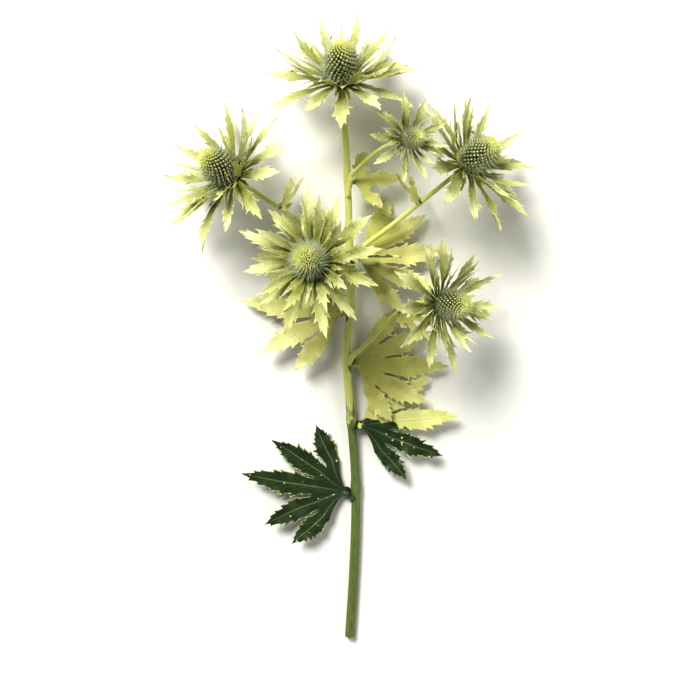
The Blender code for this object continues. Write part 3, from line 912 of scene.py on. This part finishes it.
def make_leaf(leaf):
    """One palmate leaf, as one piece."""
    middle, radius, stalk = stalk_place(leaf)
    first = Vector(leaf.out).normalized()
    face = Vector(leaf.face)
    axis = (face - first * face.dot(first)).normalized()
    skin = radius + STEM_GAP
    centre = middle + first * skin
    palm = leaf.length * PALM_SHARE
    small = leaf.length / 90
    start = PALM_START * small
    chance = random.Random(leaf.seed * 3)
    blades = leaf_blades(leaf)
    gap = blades[1].azimuth - blades[0].azimuth
    whole = gap * leaf.lobes / 2
    fold = math.tan(math.radians(LOBE_SHAPE.fold))
    sheet = Sheet()
    for blade in blades:
        number = len(sheet.points)
        root = add_blade(sheet, (centre, axis, first, palm), blade, LOBE_SHAPE, chance)[0]
        tone = sheet.tones[number]
        rows = []
        # The sheath: from an arc round the stalk to a flat petiole. Each wedge takes its own part.
        for below, reach, clasp, wrap in SHEATH:
            line = []
            for c in COLUMNS:
                part = (blade.azimuth + c * gap / 2) / whole
                round_stalk = SHEATH_WRAP * wrap * part
                side = (stalk.cross(first) * clasp + axis.cross(first) * (1 - clasp)).normalized()
                wrapped = (first * math.cos(round_stalk) + side * math.sin(round_stalk)) * skin
                flat = first * skin + side * PETIOLE_HALF * small * part
                point = middle - stalk * below * small + first * reach * small
                point += wrapped * clasp + flat * (1 - clasp)
                line.append(sheet.add_point(point, (0.5 + 0.5 * c, -0.9), tone, 0.6))
            rows.append(line)
        for step in range(PALM_ROWS):
            share = step / PALM_ROWS
            reach = start + (palm - start) * share
            spread = PETIOLE_HALF * small / (start * whole)
            spread += (1 - spread) * share ** 0.6
            line = []
            for c in COLUMNS:
                out = Matrix.Rotation((blade.azimuth + c * gap / 2) * spread, 3, axis) @ first
                flat = centre + out * reach / math.cos(c * gap / 2 * spread)
                rise = fold * reach * abs(math.sin(c * gap / 2)) * share
                uv = (0.5 + 0.5 * c, -0.6 + 0.6 * share)
                line.append(sheet.add_point(flat + axis * rise, uv, tone, 0.85))
            rows.append(line)
        rows.append(root)
        sheet.faces += skin_rows(rows)
    low = leaf.name.startswith("leaf_low")
    top, back = (low_top, low_back) if low else (leaf_top, leaf_back)
    piece = finish_sheet(leaf.name + "_blade", sheet, SHEET_WALL, top, back)
    return hand_over(piece, leaf.name)


faces = [make_leaf(leaf) for leaf in LEAVES]
print("leaves:", len(faces), "faces:", sum(faces))

# %% [markdown]
# ## Ribbed stalks
# A stalk is one ribbed outline drawn along a curve, which is what Curve to Mesh does. The tree makes
# the outline from a circle whose radius rises and falls once for each rib, notes how deep in a
# groove each point lies, and sweeps it. A slower wave makes some ribs fainter, as on the plant. The
# curve's own radius gives the taper, the swollen nodes and the flare under a head.

# %% The stalk tree
def new_tree(name, inputs):
    """A Geometry Nodes tree with named inputs: the tree, its add and its given values."""
    tree = bpy.data.node_groups.new(name, "GeometryNodeTree")
    for label, kind in inputs.items():
        tree.interface.new_socket(label, in_out="INPUT", socket_type="NodeSocket" + kind)
    tree.interface.new_socket("Geometry", in_out="OUTPUT", socket_type="NodeSocketGeometry")
    add = partial(add_node, tree)
    return tree, add, add("NodeGroupInput").outputs


def ribbed_stalk_tree():
    """Geometry Nodes: a curve in, a ribbed stalk out."""
    tree, add, given = new_tree("ribbed_stalk", {
        "Geometry": "Geometry", "Ribs": "Int", "Rib Depth": "Float", "Skin": "Material"})
    sides = add("*", given["Ribs"], 6.0)
    circle = add("GeometryNodeCurvePrimitiveCircle", sides, 1.0)
    turn = add("GeometryNodeSplineParameter").outputs["Factor"]
    swings = add("*", given["Ribs"], math.tau)
    angle = add("*", turn, swings)
    even = add("Math:COSINE", angle)
    # Three times round, the ribs grow fainter and stronger again.
    thirds = add("*", turn, 3 * math.tau)
    thirds = add("Math:COSINE", thirds)
    strength = add("MapRange", thirds, -1.0, 1.0, 0.4)
    wave = add("*", even, strength)
    grow = add("*+", wave, given["Rib Depth"], 1.0)
    spot = add("GeometryNodeInputPosition")
    moved = add("VectorMath:SCALE", spot, grow)
    ribbed = add("GeometryNodeSetPosition", {"Geometry": circle, "Position": moved})
    depth = add("MapRange", wave, 1.0, -1.0)
    outline = add("GeometryNodeStoreNamedAttribute", {"Geometry": ribbed, "Name": "groove",
                                                      "Value": depth})
    length = add("GeometryNodeSplineParameter").outputs["Length"]
    route = add("GeometryNodeStoreNamedAttribute", {"Geometry": given["Geometry"],
                                                    "Name": "along", "Value": length})
    radius = add("GeometryNodeInputRadius")
    swept = add("GeometryNodeCurveToMesh", {"Curve": route, "Profile Curve": outline, "Scale": radius,
                                            "Fill Caps": True})
    real = add("GeometryNodeRealizeInstances", swept)
    skinned = add("GeometryNodeSetMaterial", {"Geometry": real, "Material": given["Skin"]})
    add("NodeGroupOutput", skinned)
    return tree


def grow(draft, tree, name, inputs):
    """Runs a tree on a draft, with its named inputs set by their sockets' identifiers."""
    modifier = draft.modifiers.new("tree", "NODES")
    modifier.node_group = tree
    for socket in tree.interface.items_tree:
        if socket.in_out == "INPUT" and socket.name in inputs:
            modifier[socket.identifier] = inputs[socket.name]
    return settle(draft, name)


stalk_tree = ribbed_stalk_tree()
MAIN_RIBS = (15, 0.022)         # number of ribs, and their depth as a share of the radius
SIDE_RIBS = (12, 0.024)
SKIN_RIM = 0.00025              # width of the skin round the cut face, in metres
PITH_RIM = 0.00015              # width and depth of the step down to the pith
PITH_DEPTH = 0.0003


def make_stalk(node, route, radii, ribs, depth, skin):
    """One stalk along a route of the plan, as one piece."""
    curve = bpy.data.curves.new(node + "_route", "CURVE")
    curve.dimensions = "3D"
    spline = curve.splines.new("POLY")
    spline.points.add(len(route) - 1)
    for point, place, radius in zip(spline.points, route, radii):
        point.co = (*placed(place), 1.0)
        point.radius = radius * MM
    return grow(new_object(node + "_draft", curve), stalk_tree, node + "_ribbed",
                {"Ribs": ribs, "Rib Depth": depth, "Skin": skin})


def open_cut(piece, finish):
    """Sets the cut face a little back inside the skin, as pith shrinks, and gives it its finish."""
    piece.data.materials.append(finish)
    bm = bmesh.new()
    bm.from_mesh(piece.data)
    cap = min((f for f in bm.faces if len(f.verts) > 20), key=lambda f: f.calc_center_median().y)
    rim = bmesh.ops.inset_region(bm, faces=[cap], thickness=SKIN_RIM, depth=0.0)["faces"]
    bmesh.ops.inset_region(bm, faces=[cap], thickness=PITH_RIM, depth=-PITH_DEPTH)
    for face in [cap, *rim]:
        face.material_index = 1
    for edge in cap.edges:
        edge.smooth = False
    bm.to_mesh(piece.data)
    bm.free()


stem = make_stalk("main_stem", main_line, main_radii, *MAIN_RIBS, main_skin)
open_cut(stem, cut_face)
faces = [hand_over(stem, "main_stem")]
for head in HEADS[1:]:
    node = "side_stem_" + head.name
    stalk = make_stalk(node, *side_route(head), *SIDE_RIBS, side_skin)
    faces.append(hand_over(stalk, node))
print("stalks:", len(faces), "faces:", sum(faces))

# %% [markdown]
# ## Cones
# A cone is a fleshy core packed with florets in spiral rows. The plant adds each new floret a golden
# angle of 137.5 degrees after the last, and that alone makes the crossing spirals. The tree does
# the same: point i sits at that angle and a little further down, stands square to the core, leans
# towards the crown, and carries one floret. The floret is a small closed mesh of a bud, five
# sepals and a curved spine on its lower side.

# %% One floret
def add_tube(bm, rings, tip):
    """The faces of a closed column: a flat foot, rings of points, and a tip."""
    bm.faces.new(reversed(rings[0]))
    for face in skin_rows(rings, closed=True) + fan(rings[-1], tip, closed=True):
        bm.faces.new(face)


def floret_mesh():
    """Bud, sepals and spine, in millimetres times 0.001, standing along +Z with the spine at -Y."""
    bm = bmesh.new()
    tip_layer = bm.verts.layers.float.new("tip")
    bud_layer = bm.verts.layers.float.new("bud")

    def corner(x, y, z, tip, bud):
        made = bm.verts.new((x * MM, y * MM, z * MM))
        made[tip_layer] = tip
        made[bud_layer] = bud
        return made

    def column(rings, bud):
        """A closed column from rings of (points, tip value), pointed at its top end."""
        rows = [[corner(*p, tip, bud) for p in points] for points, tip in rings]
        add_tube(bm, rows[:-1], rows[-1][0])

    def ring(radius, z, count, x=0.0, y=0.0, flat=1.0):
        turns = [math.tau * i / count for i in range(count)]
        return [(x + radius * math.cos(a), y + flat * radius * math.sin(a), z) for a in turns]

    def needle(radius, x, foot, length, bow, steps):
        """A curved spine that bows outwards below the bud and then rises towards the crown."""
        rings = []
        for step in range(steps):
            t = step / steps
            y = foot - bow * math.sin(math.pi * 0.62 * t) + 0.9 * t * t
            thin = radius * (1 - t) ** 0.75
            rings.append((ring(thin, -1.0 + length * t, 3, x * (1 + 0.5 * t), y, 0.6), t))
        rings.append(([(1.5 * x, foot - bow * math.sin(math.pi * 0.62) + 0.9, length - 1.0)], 1.0))
        column(rings, 0.0)

    column([(ring(0.60, -1.5, 6), 0.0), (ring(0.90, 0.5, 6), 0.25), (ring(0.94, 1.4, 6), 0.6),
            (ring(0.52, 2.1, 6), 0.9), ([(0, 0, 2.3)], 0.9)], 1.0)
    for i in range(5):
        a = math.tau * (i + 0.5) / 5
        foot = ring(0.36, 1.0, 3, 0.80 * math.cos(a), 0.80 * math.sin(a))
        column([(foot, 0.55), ([(1.35 * math.cos(a), 1.35 * math.sin(a), 3.5)], 1.0)], 1.0)
    needle(0.66, 0.0, -1.30, 9.0, 1.0, 6)
    for side in (-1, 1):
        needle(0.40, 0.62 * side, -1.20, 6.4, 0.7, 4)
        needle(0.34, 1.15 * side, -0.85, 5.0, 0.4, 4)
    bmesh.ops.recalc_face_normals(bm, faces=bm.faces)
    mesh = bpy.data.meshes.new("floret")
    bm.to_mesh(mesh)
    bm.free()
    mesh.shade_smooth()
    return mesh


floret = bpy.data.objects.new("floret_source", floret_mesh())
print("faces in a floret:", len(floret.data.polygons))


# %% The spiral tree
GOLDEN_ANGLE = math.radians(137.508)
CROWDING = 1.22         # above 1, the florets crowd together towards the crown
FOOT_REACH = 1.28       # the cone's foot is cut off an egg that would reach this much further down
CROWN_LEAN = 0.38       # how far each floret leans towards the crown


def floret_spiral_tree():
    """Geometry Nodes: a core in, the core with its florets out."""
    tree, add, given = new_tree("floret_spiral", {
        "Geometry": "Geometry", "Floret": "Object", "Count": "Int", "Radius": "Float",
        "Height": "Float", "Widest": "Float", "Floret Size": "Float", "Seed": "Int",
        "Floret Skin": "Material", "Core Skin": "Material"})
    index = add("GeometryNodeInputIndex")
    count = given["Count"]
    # The florets crowd together towards the crown.
    left = add("-", 1.0, add("/", add("+", index, 0.5), count))
    share = add("-", 1.0, add("Math:POWER", left, CROWDING))
    angle = add("*", index, GOLDEN_ANGLE)
    past = add("-", share, given["Widest"])
    below = add("*", given["Widest"], FOOT_REACH)
    above = add("-", 1.0, given["Widest"])
    half = add("GeometryNodeSwitch", add("Math:GREATER_THAN", past, 0.0), below, above,
               input_type="FLOAT")
    steep = add("/", past, half)
    round_off = add("Math:MAXIMUM", add("-", 1.0, add("*", steep, steep)), 0.0)
    breadth = add("Math:SQRT", round_off)
    radius = add("*", breadth, given["Radius"])
    cosine = add("Math:COSINE", angle)
    sine = add("Math:SINE", angle)
    place = add("CombineXYZ", add("*", radius, cosine), add("*", radius, sine),
                add("*", share, given["Height"]))
    points = add("GeometryNodePoints", count, place)
    # Square to the core, then leaning towards the crown.
    flat = add("/", breadth, given["Radius"])
    rise = add("/", steep, add("*", half, given["Height"]))
    square = add("CombineXYZ", add("*", flat, cosine), add("*", flat, sine),
                 rise)
    square = add("VectorMath:NORMALIZE", square)
    lean = add("VectorMath:ADD", square, (0.0, 0.0, CROWN_LEAN))
    aim = add("FunctionNodeAlignRotationToVector", {"Vector": lean}, axis="Z")
    aim = add("FunctionNodeAlignRotationToVector", {"Rotation": aim, "Vector": (0.0, 0.0, 1.0)},
              axis="Y", pivot_axis="Z")
    shake = add("FunctionNodeRandomValue", {"Min": (-0.13, -0.13, -0.2), "Max": (0.13, 0.13, 0.2),
                                            "Seed": given["Seed"]}, data_type="FLOAT_VECTOR")
    turn = add("FunctionNodeEulerToRotation", shake)
    aim = add("FunctionNodeRotateRotation", aim, turn, rotation_space="LOCAL")
    vary = add("FunctionNodeRandomValue", {"Min": 0.86, "Max": 1.12, "Seed": given["Seed"]})
    young = add("MapRange", share, 0.6, 1.0, 1.0, 0.66)
    size = add("*", add("*", vary, young), given["Floret Size"])
    source = add("GeometryNodeObjectInfo", given["Floret"])
    stood = add("GeometryNodeInstanceOnPoints", {
        "Points": points, "Instance": source.outputs["Geometry"], "Rotation": aim, "Scale": size})
    # The share is stored on the points' instances, so each floret keeps one value all over.
    marked = add("GeometryNodeStoreNamedAttribute",
                 {"Geometry": stood, "Name": "crown", "Value": share}, domain="INSTANCE")
    real = add("GeometryNodeRealizeInstances", marked)
    florets = add("GeometryNodeSetMaterial", {"Geometry": real, "Material": given["Floret Skin"]})
    core = add("GeometryNodeSetMaterial",
               {"Geometry": given["Geometry"], "Material": given["Core Skin"]})
    joined = add("GeometryNodeJoinGeometry", core)
    fill(joined, florets)
    add("NodeGroupOutput", joined)
    return tree


spiral_tree = floret_spiral_tree()
print("nodes in the spiral tree:", len(spiral_tree.nodes))

# %% Every cone
CORE_RADIUS = 10.6
CORE_HEIGHT = 30.0
CONE_WIDEST = 0.36      # the share of the cone's height at which it is widest
CORE_SIDES = 28
CORE_LEVELS = 16
FLORETS = 270
YOUNG_FLORETS = 150
YOUNG_HEAD = 0.7        # a head smaller than this is young
YOUNG_SIZE = 0.68       # and its florets have this size


def cone_share(share):
    """Radius of the cone as a share of its widest, at a share of its height."""
    if share > CONE_WIDEST:
        return math.sqrt(max(0.0, 1 - ((share - CONE_WIDEST) / (1 - CONE_WIDEST)) ** 2))
    return math.sqrt(1 - ((CONE_WIDEST - share) / (FOOT_REACH * CONE_WIDEST)) ** 2)


def core_mesh(name, radius, height):
    """The egg-shaped core, closed at both ends, standing on the origin."""
    bm = bmesh.new()
    rings = []
    for level in range(CORE_LEVELS):
        share = math.sin(0.5 * math.pi * level / CORE_LEVELS)
        wide = radius * cone_share(share)
        turns = [math.tau * i / CORE_SIDES for i in range(CORE_SIDES)]
        rings.append([bm.verts.new((wide * math.cos(a), wide * math.sin(a), height * share))
                      for a in turns])
    add_tube(bm, rings, bm.verts.new((0, 0, height)))
    mesh = bpy.data.meshes.new(name)
    bm.to_mesh(mesh)
    bm.free()
    return mesh


def make_cone(head):
    """One cone with its florets, as one piece in its place."""
    young = head.size < YOUNG_HEAD
    radius = CORE_RADIUS * head.size * MM
    height = CORE_HEIGHT * head.size * MM
    draft = new_object("cone_draft", core_mesh("cone_core", radius, height))
    node = "flower_cone_" + head.name
    piece = grow(draft, spiral_tree, node + "_florets", {
        "Floret": floret, "Count": YOUNG_FLORETS if young else FLORETS, "Radius": radius,
        "Height": height, "Widest": CONE_WIDEST, "Floret Size": YOUNG_SIZE if young else head.size,
        "Seed": head.seed, "Floret Skin": floret_skin, "Core Skin": core_skin})
    rotation = head_frame(head)
    seat = Vector(head.base) + rotation @ Vector((0, 0, CONE_SEAT))
    piece.data.transform(Matrix.Translation(placed(seat)) @ rotation.to_4x4())
    return hand_over(piece, node)


faces = [make_cone(head) for head in HEADS]
bpy.data.objects.remove(floret, do_unlink=True)
print("cones:", len(faces), "faces:", sum(faces))

# %% [markdown]
# ## Table, light and camera
# The photograph has a white ground and broad, soft light from above the flowers. Laid down, the
# stem has its heads away from the viewer, so the main light comes from the heads' side. The camera
# looks down on the stem and leans a little towards its foot, which keeps the viewing angle on the
# heads close to the photograph's. The studio round it has pale walls, which give low views a white
# ground, and a dim ceiling, which leaves the bracts their shadows.

# %% Floor and lights
def pale_table(name):
    """A plain pale table top with a faint unevenness."""
    mat, add, shader, place = new_finish(name)
    cloud = add("TexNoise", place, 6.0, 3.0)
    colour = add("Mix", cloud, "#F2F2EE", "#F8F8F5")
    fill(shader, {"Base Color": colour, "Roughness": 0.6})
    return mat


floor_mesh = bpy.data.meshes.new("table_top")
HALF_FLOOR = 3.0
floor_mesh.from_pydata([(-HALF_FLOOR, -HALF_FLOOR, 0), (HALF_FLOOR, -HALF_FLOOR, 0),
                        (HALF_FLOOR, HALF_FLOOR, 0), (-HALF_FLOOR, HALF_FLOOR, 0)], [], [(0, 1, 2, 3)])
floor_mesh.materials.append(pale_table("pale_table"))
new_object("table_top", floor_mesh)


def add_softbox(name, place, target, size, power, colour):
    """A square area light that faces a point."""
    light = bpy.data.lights.new(name, "AREA")
    light.shape = "SQUARE"
    light.size = size
    light.energy = power
    light.color = srgb(colour)[:3]
    made = new_object(name, light)
    made.location = place
    made.rotation_euler = (Vector(target) - Vector(place)).to_track_quat("-Z", "Y").to_euler()


HEART = (0.0, 0.12, 0.05)
add_softbox("key", (-2.22, 4.47, 4.61), HEART, 2.4, 480.0, "#FFFDF8")
add_softbox("fill", (4.8, -1.16, 4.25), HEART, 4.0, 80.0, "#FFFFFA")
world = bpy.data.worlds.new("studio")
world.use_nodes = True
add = partial(add_node, world.node_tree)
# A studio with pale walls under a dim ceiling: bright up to 8 degrees above the table, dim from 20.
way = add("TexCoord").outputs["Generated"]
up = add("SeparateXYZ", way).outputs["Z"]
glow = add("MapRange", up, 0.14, 0.34, 0.9, 0.13, interpolation_type="SMOOTHSTEP")
fill(world.node_tree.nodes["Background"], {"Color": "#FFFFFA", "Strength": glow})
bpy.context.scene.world = world
bpy.context.scene.view_settings.view_transform = "Standard"
bpy.context.scene.view_settings.look = "High Contrast"

# %% Camera
CAMERA_LEAN = math.radians(14.0)
CAMERA_REACH = 1.36
LENS = 85.0
look = Vector((0.0, -math.sin(CAMERA_LEAN), -math.cos(CAMERA_LEAN)))
target = Vector((0.0, -0.004, 0.03))
camera = bpy.data.cameras.new("camera")
camera.lens = LENS
eye = new_object("camera", camera)
eye.location = target - look * CAMERA_REACH
right = Vector((1, 0, 0))
eye.rotation_euler = Matrix((right, (-look).cross(right), -look)).transposed().to_euler()
bpy.context.scene.camera = eye
print("camera at", [round(v, 3) for v in eye.location])
